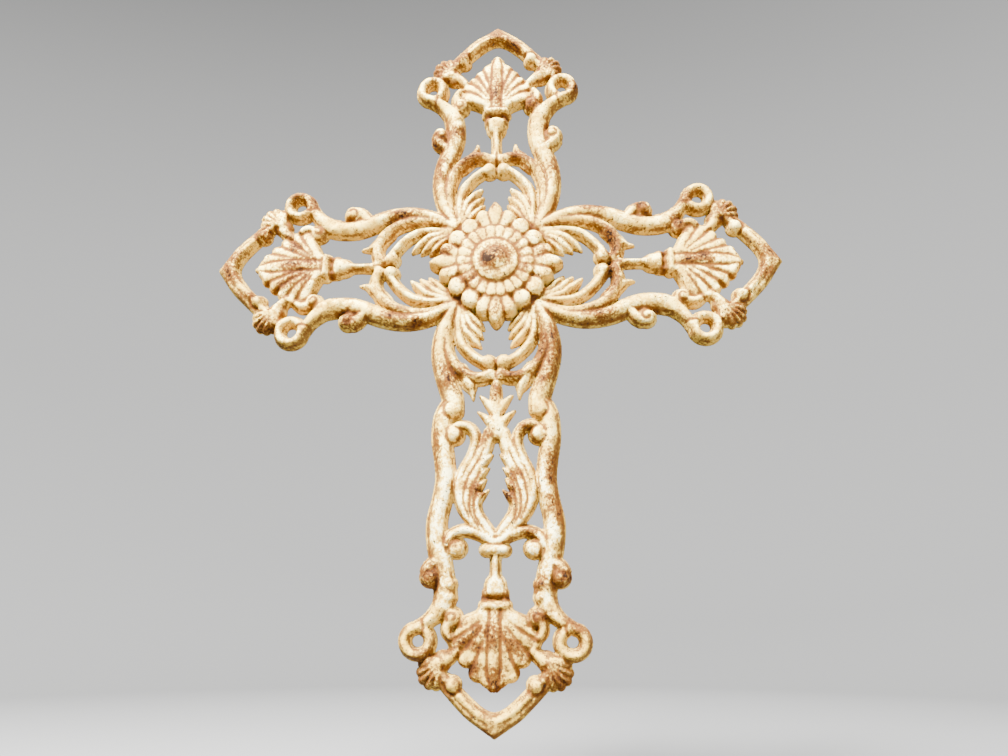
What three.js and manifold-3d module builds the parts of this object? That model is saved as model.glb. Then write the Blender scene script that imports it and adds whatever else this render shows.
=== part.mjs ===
// A wall cross cast in one piece: an openwork relief of rails, leaves and scrolls with a flat back.
// Millimetres. X runs to the right, Z up, the front faces -Y and the back lies in the plane Y = 0.
// The origin is on the back, behind the middle of the rosette.
import * as THREE from 'three';
import { mergeVertices } from 'three/addons/utils/BufferGeometryUtils.js';
import ManifoldModule from 'manifold-3d';

// Driving sizes
const shortReach = 164.5; // middle of the rosette to the point of a short arm
const footReach = 255.3; // middle of the rosette to the point of the foot
const footShift = footReach - shortReach; // the arm end repeats on the foot, this much further out
const railHeight = 8.4; // rails, loops and curls above the back
const barHeight = 7.8; // chevron at the end of an arm
const leafHeight = 7; // arches and leaves
const bandHeight = 7.4; // bands round the wings of the foot
const draft = 1.5; // how much wider a shape is at the back than at its shoulder
const lobeCut = 2; // how much shorter the palmette's side lobes are on a short arm
const neckShift = 2.4; // how much further out the neck of a short arm is than that of the foot
const under = 1.5; // how far a shape starts behind the back before it is trimmed flat

// Rosette
const lobeHeight = 12;
const lobeDip = 3; // how deep the valleys between the lobes are
const daisyRadius = 22.3;
const daisyHeight = 13;
const daisyPetals = 22;
const discRadius = 12.3;
const discHeight = 16;
const bossRadius = 7;
const bossHeight = 18.5;

// Cross-sections as [across, up] shares of the half width and the height, right edge first.
// A zero height stands for the edge behind the back.
const flatBar = [[-1, 0], [-0.6, 0.94], [0.6, 0.94], [1, 0]];
const ridge = [[-1, 0], [0, 1], [1, 0]];
// the crest lies near the inner edge and a broad bevel falls to the outer one
const leaning = [[-1, 0], [-0.4, 1], [0.9, 0.36], [1, 0]];

const wasm = await ManifoldModule();
wasm.setup();

function toSolid(geometry) {
  geometry.deleteAttribute('normal');
  geometry.deleteAttribute('uv');
  const welded = mergeVertices(geometry, 1e-4);
  return new wasm.Manifold(new wasm.Mesh({
    numProp: 3,
    vertProperties: new Float32Array(welded.attributes.position.array),
    triVerts: new Uint32Array(welded.index.array),
  }));
}

const solids = [];

function addMesh(positions, index) {
  const geometry = new THREE.BufferGeometry();
  geometry.setAttribute('position', new THREE.Float32BufferAttribute(positions, 3));
  geometry.setIndex(index);
  solids.push(toSolid(geometry));
}

// value part of the way along a list whose entries are evenly spaced
function along(list, share) {
  if (typeof list === 'number') return list;
  const place = share * (list.length - 1);
  const first = Math.min(Math.floor(place), list.length - 2);
  return THREE.MathUtils.lerp(list[first], list[first + 1], place - first);
}

// carries a cross-section along a smooth line through the given points of the plan
function addBar(points, halfWidths, heights, segments, section = flatBar) {
  const curve = new THREE.SplineCurve(points);
  const count = section.length;
  const positions = [];
  const index = [];
  for (let i = 0; i <= segments; i += 1) {
    const share = i / segments;
    const point = curve.getPoint(share);
    const heading = curve.getTangent(share);
    const width = along(halfWidths, share);
    const height = along(heights, share);
    for (const [across, up] of section) {
      const rise = up === 0 ? -under : up * height;
      const reach = across * (up === 0 ? width + draft : width);
      positions.push(point.x - heading.y * reach, -rise, point.y + heading.x * reach);
    }
  }
  for (let i = 0; i < segments; i += 1) {
    for (let j = 0; j < count; j += 1) {
      const next = (j + 1) % count;
      const a = i * count + j;
      const d = i * count + next;
      index.push(a, a + count, d + count, a, d + count, d);
    }
  }
  const last = segments * count;
  for (let j = 1; j < count - 1; j += 1) {
    index.push(0, j, j + 1, last, last + j + 1, last + j);
  }
  addMesh(positions, index);
}

// Folded surface through neighbouring lines of [point, height] stations, walled down to the back.
// Crest and valley lines in turn give the ribs of a leaf. A closed surface is a ring.
function addFolds(lines, closed = false) {
  const stations = lines[0].length;
  const positions = [];
  for (const line of lines) {
    for (const [point, height] of line) positions.push(point.x, -height, point.y);
  }
  const low = lines.length * stations;
  for (const line of lines) {
    for (const [point] of line) positions.push(point.x, under, point.y);
  }
  const index = [];
  const spans = closed ? lines.length : lines.length - 1;
  const at = (i, j) => (i % lines.length) * stations + j;
  const quad = (a, b, c, d) => index.push(a, b, c, a, c, d);
  for (let i = 0; i < spans; i += 1) {
    for (let j = 0; j < stations - 1; j += 1) {
      quad(at(i, j), at(i, j + 1), at(i + 1, j + 1), at(i + 1, j));
      quad(low + at(i, j), low + at(i + 1, j), low + at(i + 1, j + 1), low + at(i, j + 1));
    }
    quad(at(i, 0), at(i + 1, 0), low + at(i + 1, 0), low + at(i, 0));
    const end = stations - 1;
    quad(at(i + 1, end), at(i, end), low + at(i, end), low + at(i + 1, end));
  }
  if (!closed) {
    for (let j = 0; j < stations - 1; j += 1) {
      quad(at(0, j + 1), at(0, j), low + at(0, j), low + at(0, j + 1));
      quad(at(spans, j), at(spans, j + 1), low + at(spans, j + 1), low + at(spans, j));
    }
  }
  // a mirrored side runs the other way round, so its faces are turned over
  const [start, outer, beside] = [lines[0][0][0], lines[0][stations - 1][0], lines[1][stations - 1][0]];
  const handed = (outer.x - start.x) * (beside.y - start.y) - (outer.y - start.y) * (beside.x - start.x);
  if (handed < 0) {
    for (let k = 0; k < index.length; k += 3) [index[k], index[k + 1]] = [index[k + 1], index[k]];
  }
  addMesh(positions, index);
}

// stations of a fold line, evenly spaced along the curve through its points
function foldLine(points, heights, stations) {
  const curve = new THREE.SplineCurve(points);
  const list = [];
  for (let j = 0; j < stations; j += 1) {
    const share = j / (stations - 1);
    list.push([curve.getPoint(share), along(heights, share)]);
  }
  return list;
}

// turns a profile of [radius, height] points about a line square to the back
function addTurned(point, profile, segments) {
  const outline = profile.map(([radius, height]) => new THREE.Vector2(radius, -height));
  const geometry = new THREE.LatheGeometry(outline, segments);
  geometry.translate(point.x, 0, point.y);
  solids.push(toSolid(geometry));
}

function addDome(point, radius, height, segments = 6) {
  addTurned(point, [
    [0, height], [radius * 0.84, height * 0.68], [radius + draft, -under], [0, -under],
  ], segments);
}

function addRing(point, radius, halfWidth, height, segments) {
  const inner = radius - halfWidth;
  addTurned(point, [
    [inner, -under], [radius - halfWidth * 0.3, height], [radius + halfWidth * 0.6, height * 0.8],
    [radius + halfWidth + draft, -under], [inner, -under],
  ], segments);
}

// An arm is drawn along u, outwards from the rosette, and v, across. It is turned about the rosette
// and each side is the mirror of the other.
function placer(turn, side, shift) {
  const sine = Math.round(Math.sin(turn));
  const cosine = Math.round(Math.cos(turn));
  return (list) => list.map(([u, v]) => new THREE.Vector2(
    (u + shift) * sine + v * side * cosine,
    (u + shift) * cosine - v * side * sine,
  ));
}

// leaf, arch and thorn between the rosette and the neck of an arm, which lies a little further out on
// a short arm than on the foot
function addArmRoot(at, isFoot) {
  const out = isFoot ? 0 : neckShift;
  const spot = (u, v) => at([[u, v]])[0];
  addBar(at([[25, 23], [36, 27.3], [46, 28.4], [55 + out * 0.4, 26.4], [62 + out * 0.8, 21.6],
    [66.5 + out, 14], [67.5 + out, 7], [67.4 + out, -1]]),
  [1.6, 2.5, 3, 3.5, 3.9, 3.6, 3.4, 3.2], leafHeight, 7, ridge);
  const thorn = isFoot ? [[62, 21], [69, 15.4], [79.4, 13.6]] : [[63.5, 20.5], [71, 13.4], [80, 11.3]];
  addBar(at(thorn), [3, 3.6, 0.2], [6.5, 6.8, 4], 3, ridge);
  // low web that closes the groove between arch and rail on the foot
  if (isFoot) addBar(at([[56, 28], [67.5, 22.6]]), [2.4, 2], 4.6, 1, ridge);
  // the rim of the leaf ends in a ball, and three teeth fan out of its root
  addBar(at([[26, 21.5], [37, 22], [47 + out * 0.3, 19.8], [54 + out * 0.7, 14], [58.6 + out, 7.4]]),
    [1.6, 2.3, 2.6, 2.7, 2.6], leafHeight, 5, ridge);
  addDome(spot(58.6 + out, 4.5), 4.3, 8.6);
  const crest = [6.4, 7.2, 3.8];
  const valley = [5.8, 5.4, 4];
  addFolds([
    foldLine(at([[27, 21.5], [40, 19.8], [46.4, 17]]), valley, 3),
    foldLine(at([[27, 20.6], [41, 16.8], [50.5, 7.2]]), crest, 3),
    foldLine(at([[27, 19.8], [37.8, 15.8], [43.6, 11.4]]), valley, 3),
    foldLine(at([[27, 19], [36.4, 14.4], [44.7, 6.8]]), crest, 3),
    foldLine(at([[27, 18.2], [33.8, 13.8], [38.4, 10.8]]), valley, 3),
    foldLine(at([[27, 17.4], [33, 12.4], [39.2, 6.4]]), crest, 3),
    foldLine(at([[25.6, 15.4], [30.6, 11.2], [35, 8.6]]), valley, 3),
  ]);
}

// rail of a short arm, from the rosette out to the loop
function addShortRail(at) {
  addBar(at([[24, 24], [34, 29.6], [45, 32.8], [55, 33.4], [65, 31.4], [74, 27.8], [83, 25.2], [92, 25],
    [101, 26.8], [109, 32.4]]),
  [2.4, 3.4, 3.9, 4, 4.4, 4.9, 5.3, 5.5, 5.2, 4], railHeight, 10);
}

// loop, shell, bead and volute on one side of an arm end
function addArmEnd(at) {
  const spot = (u, v) => at([[u, v]])[0];
  // curl on the outer side of the rail
  addDome(spot(85.3, 35), 5.6, railHeight + 0.3);
  addDome(spot(106, 22.2), 4.9, 8.8);
  // strap from the palmette to the loop
  addBar(at([[121.6, 20], [127, 26], [126.6, 35]]), [2.6, 3.6, 2.6], [6.6, 7, 6.6], 2, ridge);
  // loop, with a ball inside it
  addRing(spot(118.2, 40.6), 7.1, 3.3, railHeight, 9);
  addDome(spot(118.6, 34.8), 3.8, 8.2);
  // the shell: four ribs fan from a corner, with a notch between each two, as [degrees, reach, is a crest]
  const fan = [[8, 14.4, 0], [20, 17, 1], [28, 15, 0], [37, 16.8, 1], [45, 14.6, 0], [54, 15.8, 1],
    [63, 13.2, 0], [72, 13, 1], [84, 10.4, 0]];
  addFolds(fan.map(([angle, reach, isCrest]) => {
    const aim = THREE.MathUtils.degToRad(angle);
    const ray = (distance) => [126 + distance * Math.cos(aim), 26.5 + distance * Math.sin(aim)];
    return foldLine(at([ray(2.5), ray(reach)]), isCrest ? [7.2, 4.6] : [5.8, 3.4], 2);
  }));
  addDome(spot(137.8, 20.8), 4.4, 9.2);
}

// palmette, collar, stem and chevron, which lie across the middle line of an arm end
function addArmMiddle(at, isFoot) {
  // tips of the palmette's lobes and the notches between them, from the midrib outwards
  const tips = [[143.2, 0, 1], [137.4, 4.2, 0], [138.4, 8.6, 1], [131.8, 11.8, 0], [131.6, 15.8, 1],
    [126, 18, 0], [124.8, 22, 1], [119.4, 22.8, 0], [117, 26, 1], [110.6, 25.6, 0]];
  const rib = ([reach, v, isCrest], side, order) => {
    const u = isFoot || order === 0 ? reach : reach - lobeCut * Math.min(1, (reach - 110) / 12);
    const foot = side * order * 0.75;
    const bend = [102 + (u - 102) * 0.5, foot + (side * v - foot) * 0.36];
    const heights = isCrest ? [8.4, 9.8, 4.6] : [7.4, 7, 4.4];
    return foldLine(at([[101, foot], bend, [u, side * v]]), heights, 3);
  };
  const right = tips.map((tip, order) => rib(tip, 1, order));
  const left = tips.slice(1).map((tip, order) => rib(tip, -1, order + 1));
  addFolds([...left.reverse(), ...right]);
  // chevron, from one bead over the point to the other
  addBar(at([[134.8, -27], [143.4, -19], [152, -9.6], [158.2, 0], [152, 9.6], [143.4, 19], [134.8, 27]]),
    [3.6, 4.3, 4.5, 5.6, 4.5, 4.3, 3.6], barHeight, 6, leaning);
  // stem, cup, groove and collar as stations of [u, half width, height]
  const stem = [[64, 3.5, 7], [88, 3.5, 7.1], [92, 6.2, 8.4], [95.6, 7.8, 9.2], [96.4, 6.8, 8.2],
    [97.3, 7.5, 9.8], [99.4, 8.4, 10.6], [101.8, 7.8, 9.8]];
  addBar(at(stem.map(([u]) => [u, 0])), stem.map(([, width]) => width), stem.map(([, , height]) => height),
    stem.length - 1);
}

// rails, wing and scrolls of the longer lower arm, on one side
function addFootSide(at) {
  const spot = (u, v) => at([[u, v]])[0];
  // the first rail closes to a bulb and the second runs on to the arm end
  addBar(at([[24, 24], [34, 29], [45, 31.8], [55, 31.9], [64, 29.6], [72, 26.6], [79, 24.2], [86, 23.6]]),
    [2.4, 3.4, 3.9, 4, 4.4, 5, 5.2, 5], railHeight, 8);
  addDome(spot(86.4, 24), 5.6, railHeight + 0.2);
  addBar(at([[82, 29.5], [92, 29.6], [103, 29.7], [114, 28.2], [125, 27.3], [136, 28.8], [147, 31],
    [158, 30.4], [168, 27.4], [footShift + 86, 25], [footShift + 94, 25], [footShift + 102, 27.2],
    [footShift + 109, 32]]),
  [1.6, 4.4, 4.8, 4.7, 4.7, 4.7, 4.8, 4.9, 5.2, 5.4, 5.5, 5, 4], railHeight, 12);
  // one band rises from the knob round the wing into the upper scroll, which ends in a ball
  addBar(at([[158, 1], [149.5, 10], [141, 17], [131, 20.6], [121, 18.8], [112, 14], [103, 11.2], [96.6, 14],
    [94.8, 19.5], [97.4, 24.4]]),
  [2.8, 2.8, 2.9, 2.6, 2.4, 2.4, 2.6, 2.7, 2.8, 2.4], bandHeight, 12, ridge);
  addDome(spot(99.6, 23.2), 5.2, 8.6);
  // the wing inside that band: four teeth turn in from its long ribs
  const crest = [7, 7.6, 7.2, 3.8];
  const valley = [6.6, 6.2, 5.4, 4];
  addFolds([
    foldLine(at([[156, 3], [140, 17], [119, 16.5], [98.5, 6.6]]), valley, 4),
    foldLine(at([[155.6, 2.4], [139.6, 14.8], [122, 13.2], [110.2, 2.2]]), crest, 4),
    foldLine(at([[155.2, 2], [139.5, 13.6], [126, 13.2], [116, 8.6]]), valley, 4),
    foldLine(at([[154.8, 1.6], [140, 12.6], [127.5, 11.6], [117.4, 4.6]]), crest, 4),
    foldLine(at([[154.4, 1.2], [140.4, 11.8], [130, 12], [122.6, 10.2]]), valley, 4),
    foldLine(at([[154, 0.8], [140.8, 11], [132, 10.4], [124.2, 6]]), crest, 4),
    foldLine(at([[153.6, 0.4], [141.2, 10], [134, 10.4], [129, 9.6]]), valley, 4),
    foldLine(at([[153.2, 0], [142, 9], [136, 8.8], [130.8, 4.7]]), crest, 4),
    foldLine(at([[151.6, -0.4], [144, 6.2], [139, 8.2], [134.2, 7]]), valley, 4),
  ]);
  // lower scroll and its ball
  addBar(at([[158, 1], [154.2, 8], [152.2, 16], [154.8, 23], [159.6, 25]]),
    [3.6, 3.3, 3.1, 3, 2.6], bandHeight, 6, ridge);
  addDome(spot(161.6, 20.2), 5.3, 8.6);
}

// arrow above the wings and knob below them
function addFootMiddle(at) {
  const edge = [[66.6, 0.4, 4], [75.4, 3.2, 4.6], [77.9, 8.6, 3.6], [83.4, 4.4, 4.6], [86.5, 10.6, 3.6],
    [92, 3.8, 4.8], [98, 3.6, 5.2]];
  const side = (sign) => edge.map(([u, v, height]) => [at([[u, sign * v]])[0], height]);
  const spine = [[66.4, 4.4], [74, 7.2], [77, 7.6], [83.6, 7], [86, 7.8], [92, 7.6], [98, 7.6]];
  addFolds([side(1), spine.map(([u, height]) => [at([[u, 0]])[0], height]), side(-1)]);
  addBar(at([[96, 0], [100.5, 0], [105, 0]]), [4.2, 6, 2.8], bandHeight, 3);
  addBar(at([[159.6, 0], [163.2, 0], [166.8, 0]]), [4.6, 8, 4.6], [7.6, 9.2, 7.6], 4);
}

function addRosette() {
  // one quarter of the lobed rim as [degrees from the arm, reach, crest share]: half a trefoil, then
  // one lobe of the pair on the diagonal
  const rim = [[0, 40.4, 1], [7.2, 34.4, 0], [11, 37.6, 0.9], [17.4, 36, 0.9], [21.6, 30.2, 0],
    [27, 34.4, 0.9], [37, 34.4, 0.9]];
  // on the diagonal itself the rim runs on as a low web under the corner where two rails meet
  const eighth = [...rim, [45, 37, -1.6]];
  const mirrored = rim.slice(1).reverse().map(([angle, reach, crest]) => [90 - angle, reach, crest]);
  const quarter = [...eighth, ...mirrored];
  const lines = [];
  for (let turn = 0; turn < 360; turn += 90) {
    for (const [angle, reach, crest] of quarter) {
      const aim = THREE.MathUtils.degToRad(turn + angle);
      const ray = (distance) => new THREE.Vector2(distance * Math.sin(aim), distance * Math.cos(aim));
      const top = lobeHeight - lobeDip + lobeDip * crest;
      lines.push([[ray(18), 9.6], [ray(reach * 0.8), top], [ray(reach), 7 + 1.4 * crest]]);
    }
  }
  addFolds(lines, true);
  // a ring of small petals: every second line of the turned ring is drawn in and lowered
  const profile = [[11, -under], [11, 12.4], [18.6, daisyHeight], [daisyRadius, 10.6],
    [daisyRadius, -under], [11, -under]];
  const outline = profile.map(([radius, height]) => new THREE.Vector2(radius, -height));
  const ring = new THREE.LatheGeometry(outline, daisyPetals * 2);
  const place = ring.attributes.position;
  for (let i = 0; i < place.count; i += 1) {
    const line = Math.floor(i / profile.length);
    const station = i % profile.length;
    if (line % 2 === 1 && (station === 2 || station === 3)) {
      const pull = station === 3 ? 0.95 : 1;
      place.setXYZ(i, place.getX(i) * pull, place.getY(i) + 1.5, place.getZ(i) * pull);
    }
  }
  solids.push(toSolid(ring));
  const centre = new THREE.Vector2(0, 0);
  addTurned(centre, [[0, discHeight], [discRadius * 0.6, discHeight], [discRadius * 0.9, discHeight - 1.2],
    [discRadius, discHeight - 3.4], [discRadius, -under], [0, -under]], 16);
  addTurned(centre, [[0, bossHeight], [bossRadius * 0.6, bossHeight - 0.5], [bossRadius, bossHeight - 2.2],
    [bossRadius, 0], [0, 0]], 12);
}

addRosette();
for (let quarter = 0; quarter < 4; quarter += 1) {
  const turn = quarter * Math.PI / 2;
  const isFoot = quarter === 2;
  const shift = isFoot ? footShift : 0;
  for (const side of [-1, 1]) {
    addArmRoot(placer(turn, side, 0), isFoot);
    addArmEnd(placer(turn, side, shift));
    if (isFoot) addFootSide(placer(turn, side, 0));
    else addShortRail(placer(turn, side, 0));
  }
  addArmMiddle(placer(turn, 1, shift), isFoot);
  if (isFoot) addFootMiddle(placer(turn, 1, 0));
}

// everything is joined, then trimmed flat along the back
const joined = solids.reduce((sum, solid) => sum.add(solid));
const behind = new THREE.BoxGeometry(4 * shortReach, 20, 4 * footReach);
behind.translate(0, 10, 0);
const casting = joined.subtract(toSolid(behind)).getMesh();

const geometry = new THREE.BufferGeometry();
geometry.setAttribute('position', new THREE.BufferAttribute(new Float32Array(casting.vertProperties), 3));
geometry.setIndex(new THREE.BufferAttribute(new Uint32Array(casting.triVerts), 1));
geometry.computeVertexNormals();

const paintedIron = new THREE.MeshStandardMaterial({ color: 0xe6dfcb, roughness: 0.75, metalness: 0.1 });
paintedIron.name = 'painted_iron';
const mesh = new THREE.Mesh(geometry, paintedIron);
mesh.name = 'cast_cross';

const cross = new THREE.Group();
cross.name = 'wall_cross';
cross.add(mesh);

export default cross;
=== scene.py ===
import math

import bmesh
import bpy
import numpy as np
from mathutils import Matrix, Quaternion, Vector
from mathutils.geometry import delaunay_2d_cdt


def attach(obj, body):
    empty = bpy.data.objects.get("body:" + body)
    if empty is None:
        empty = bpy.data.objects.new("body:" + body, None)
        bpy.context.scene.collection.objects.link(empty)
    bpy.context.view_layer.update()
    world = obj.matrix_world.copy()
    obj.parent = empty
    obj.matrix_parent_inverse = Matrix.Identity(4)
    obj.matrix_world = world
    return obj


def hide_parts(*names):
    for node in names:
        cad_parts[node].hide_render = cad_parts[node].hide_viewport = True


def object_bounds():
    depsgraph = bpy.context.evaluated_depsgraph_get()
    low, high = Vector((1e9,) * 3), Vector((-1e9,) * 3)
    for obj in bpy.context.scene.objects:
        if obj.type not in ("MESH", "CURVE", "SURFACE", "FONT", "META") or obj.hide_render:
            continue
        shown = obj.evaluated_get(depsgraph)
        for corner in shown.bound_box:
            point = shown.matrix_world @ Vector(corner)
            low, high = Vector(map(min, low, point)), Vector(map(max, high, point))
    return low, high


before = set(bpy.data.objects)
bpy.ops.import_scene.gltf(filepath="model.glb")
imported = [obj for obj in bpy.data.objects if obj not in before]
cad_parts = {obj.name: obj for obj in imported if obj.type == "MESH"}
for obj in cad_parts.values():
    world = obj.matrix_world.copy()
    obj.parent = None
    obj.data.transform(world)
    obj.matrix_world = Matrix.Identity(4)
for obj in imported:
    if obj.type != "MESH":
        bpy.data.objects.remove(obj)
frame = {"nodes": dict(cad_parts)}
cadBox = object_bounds()
mm = 0.001  # shapes below are in millimetres, Blender's objects in metres
print("frame loaded:", ", ".join(frame["nodes"]))

# The casting has a flat back and no undercut, so its front is one height over the plan,
# worked out on a grid.
castGrid = {
    "step": 0.76,  # spacing of the grid
    "draft": 1.3,  # how much wider a shape is at the back than at its shoulder
    "tipDraft": 0.45,  # the same at a tip of no width
    "draftGrowth": 0.6,  # draft gained with each millimetre of half width
    "reach": 2,  # how far past its foot a shape is worked out
    "cutReach": 3,  # the same for a groove
    "flange": 1.1,  # square edge along the back
    "softPasses": 1,  # rounds of blending that soften the joins
    "drift": [0.3, 0.2],  # long and short wave that shift the plan
    "seed": 11,
    "lump": [30, 0.16],  # passes of blur and size of the slow unevenness
    "grain": [1, 0.045],  # the same for the sandy skin
    "edgeCut": [0.15, 0.85],  # where the outline may cut a grid edge, as shares of its length
    "inset": 0.02,  # kept inside the frame's box at the sides
    "headroom": 0.05,  # the same at the front
    "least": 0.6,  # least height, as a share of the flange
    "sharpDegrees": 60,  # edges sharper than this stay sharp in the shading
}
lowCorner = np.array(cadBox[0]) / mm
highCorner = np.array(cadBox[1]) / mm
margin = 3 * castGrid["step"]
columns = np.arange(lowCorner[0] - margin, highCorner[0] + margin, castGrid["step"])
rows = np.arange(lowCorner[2] - margin, highCorner[2] + margin, castGrid["step"])
planX, planZ = (side.ravel() for side in np.meshgrid(columns, rows))
heightMap = np.full(planX.size, -1.0)
coverMap = np.full(planX.size, -9.0)  # distance inside the outline, negative outside
tintMap = np.zeros(planX.size)  # share of bare, stained metal
grooveMap = np.zeros(planX.size)  # strength of the cut grooves


def castingDrift(x, z):
    # drift: slow sine waves of x and z shift each point by up to half a millimetre along x and along z,
    # so no two sides are twins
    long, short = castGrid["drift"]
    dx = long * np.sin(x / 31 + z / 47 + 0.6) + short * np.sin(z / 13 - x / 23)
    dz = long * np.sin(z / 37 - x / 29 + 2.1) + short * np.sin(x / 15 + z / 21)
    return x + dx, z + dz


driftX, driftZ = castingDrift(planX, planZ)

armField = {"start": 4, "half": 62}  # part of the plan that an arm lies in


def armPart(quarter):
    # arm: u runs outwards from the rosette and v across it, both sides folded onto one
    # by its absolute value
    turn = quarter * math.pi / 2
    sine, cosine = round(math.sin(turn)), round(math.cos(turn))
    u = driftX * sine + driftZ * cosine
    v = np.abs(driftX * cosine - driftZ * sine)
    ids = np.flatnonzero((u > armField["start"]) & (v < armField["half"]))
    return {"ids": ids, "u": u[ids], "v": v[ids]}


def moved(part, shift):
    # the same part of the plan with u counted from further out
    return {**part, "u": part["u"] - shift}


def shifted(points, shift):
    # a line moved outwards, by one distance or by one for each point
    line = np.array(points, float)
    line[:, 0] += shift
    return line


def smoothLine(points, perSpan=6):
    # Catmull-Rom: each span is the cubic whose slope at a point is half the step between its neighbours
    p = np.asarray(points, float)
    p = np.vstack([2 * p[0] - p[1], p, 2 * p[-1] - p[-2]])
    t = np.linspace(0, 1, perSpan, endpoint=False)[None, :, None]
    a, b, c, d = (p[i:len(p) - 3 + i, None, :] for i in range(4))
    line = 0.5 * (2 * b + (c - a) * t + (2 * a - 5 * b + 4 * c - d) * t**2 + (3 * b - a - 3 * c + d) * t**3)
    return np.vstack([line.reshape(-1, p.shape[1]), p[-2]])


def nearestOn(part, points, reach):
    # nearest: for each grid point, the place on the line where half width minus distance is greatest
    line = smoothLine(points)
    pad = line[:, 2].max() + reach
    near = np.flatnonzero(
        (part["u"] > line[:, 0].min() - pad) & (part["u"] < line[:, 0].max() + pad)
        & (part["v"] > line[:, 1].min() - pad) & (part["v"] < line[:, 1].max() + pad)
    )
    pu, pv = part["u"][near], part["v"][near]
    start, step = line[:-1, :, None], np.diff(line, axis=0)[:, :, None]
    length2 = np.maximum(step[:, 0] ** 2 + step[:, 1] ** 2, 1e-9)
    share = np.clip(((pu - start[:, 0]) * step[:, 0] + (pv - start[:, 1]) * step[:, 1]) / length2, 0, 1)
    offU = pu - start[:, 0] - share * step[:, 0]
    offV = pv - start[:, 1] - share * step[:, 1]
    distance = np.hypot(offU, offV)
    width = start[:, 2] + share * step[:, 2]
    best = np.argmax(width - distance, axis=0)
    pick = (best, np.arange(near.size))
    rise = start[best, 3, 0] + share[pick] * step[best, 3, 0]
    side = np.sign(step[best, 0, 0] * offV[pick] - step[best, 1, 0] * offU[pick])
    return part["ids"][near], distance[pick], np.maximum(width[pick], 0.05), rise, side


# tops: share of the height at q, which is -1 at one shoulder, 0 on the line and 1 at the other
def roundTop(q):
    # half an ellipse on shoulders just under half as high
    return 0.45 + 0.55 * np.sqrt(1 - q * q)


def ridgeTop(q):
    # falls from the line by a power of the distance
    return 1 - 0.45 * np.abs(q) ** 1.2


def leafTop(q):
    # a soft ridge, a power of the cosine
    return 0.62 + 0.38 * np.cos(q * math.pi / 2) ** 0.8


def broadTop(q):
    # nearly flat, a low half ellipse
    return 0.84 + 0.16 * np.sqrt(1 - q * q)


def bedTop(q):
    # falls by a tenth with the square of q
    return 1 - 0.1 * q * q


def railTop(q):
    # full just inside the line, rounded to two thirds at the inner shoulder, bevelled to half at the outer
    inner = 1 - 0.42 * np.clip(-0.1 - q, 0, 1) ** 1.8
    return inner - 0.52 * np.clip((q + 0.1) / 1.1, 0, 1) ** 1.7


def ballTop(q):
    # half an ellipse on shoulders half as high
    return 0.5 + 0.5 * np.sqrt(1 - q * q)


def lobeTop(q):
    # a low half ellipse on steep sides
    return 0.78 + 0.22 * np.sqrt(1 - q * q)


def slopeTop(q):
    # a flat bevel, full at the inner shoulder and two thirds as high at the outer one
    return 0.83 - 0.17 * q


# tints: share of bare, stained metal at q
def noTint(q):
    return 0 * q


def fullTint(q):
    return 0 * q + 1


def outerTint(q):
    # grows towards the outer shoulder
    return np.clip((q - 0.1) / 0.4, 0, 1)


def crestTint(q):
    # a bell along the line
    return np.exp(-((q / 0.55) ** 2))


def raiseBar(part, points, top=roundTop, tint=noTint, amount=0.0, steep=1.0):
    # bar: the top's share of the height up to the half width, then a drafted wall down to the flange,
    # thinner at a tip; where bars overlap the higher one stays
    ids, distance, width, rise, side = nearestOn(part, points, castGrid["draft"] + castGrid["reach"])
    q = np.clip(side * distance / width, -1, 1)
    crest = rise * top(q)
    draft = np.clip(castGrid["tipDraft"] + castGrid["draftGrowth"] * width, 0, castGrid["draft"]) * steep
    wall = np.clip((distance - width) / draft, 0, 1)
    cover = width + draft - distance
    height = crest + (castGrid["flange"] - crest) * wall
    coverMap[ids] = np.maximum(coverMap[ids], cover)
    higher = (cover > 0) & (height > heightMap[ids])
    heightMap[ids[higher]] = height[higher]
    tintMap[ids[higher]] = (amount * tint(q))[higher]


def raiseBall(part, u, v, radius, height, top=ballTop, tint=noTint, amount=0.0):
    # ball: a bar of next to no length
    raiseBar(part, [[u, v, radius, height], [u + 0.02, v, radius, height]], top, tint, amount)


def carve(part, points):
    # groove: a bell-shaped cut, its depth falling off with the square of distance over half width
    ids, distance, width, depth = nearestOn(part, points, castGrid["cutReach"])[:4]
    bell = np.exp(-((distance / width) ** 2)) * (heightMap[ids] > 0)
    heightMap[ids] -= depth * bell
    grooveMap[ids] = np.maximum(grooveMap[ids], bell * np.clip(depth, 0, 1))


def arc(u, v, radius, start, end, width, rise, count=9, shrink=0.0):
    # arc: points at even angles about a centre, the radius shrinking steadily for a spiral
    angle = np.radians(np.linspace(start, end, count))
    r = radius * np.linspace(1, 1 - shrink, count)
    return np.stack([u + r * np.cos(angle), v + r * np.sin(angle), 0 * r + width, 0 * r + rise], axis=1)


# rosette: lobes round a ring of small petals, a disc and a boss; lines as [u, v, half width, height],
# or depth for a cut
rosette = {
    "field": [48, 16],  # reach and half width of the part of the plan that a lobe lies in
    "bed": [28.6, 9.2],  # radius and height of the plate under the lobes
    "bedTint": 0.75,
    "trefoil": [[[23, 0, 4.2, 11.4], [29.6, 0, 4.6, 12.6], [33.8, 0, 3.2, 12.2], [38.2, 0, 0.4, 10.8]],
                [[22, 4.4, 3.6, 11.4], [28, 6.8, 4.5, 12.2]]],
    "crease": [[24, 2.8, 0.5, 0.4], [29, 4.2, 0.6, 1.1], [33.5, 4.9, 0.7, 1.2]],
    "pairDegrees": 33.5,  # lean of the two lobes beside a trefoil
    "pair": [[22.6, 0, 4, 11], [26.4, 0, 5.1, 12.2]],
    "steep": 0.6,  # walls of the lobes, as a share of the usual draft
    "disc": [13.3, 15.8, 2.4],  # radius, height and fall
    "boss": [6.7, 18.4, 2.8],
    "discCut": [0.6, 0.7],  # half width and depth of the groove round the disc
    "discDirt": 0.8,
}
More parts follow.
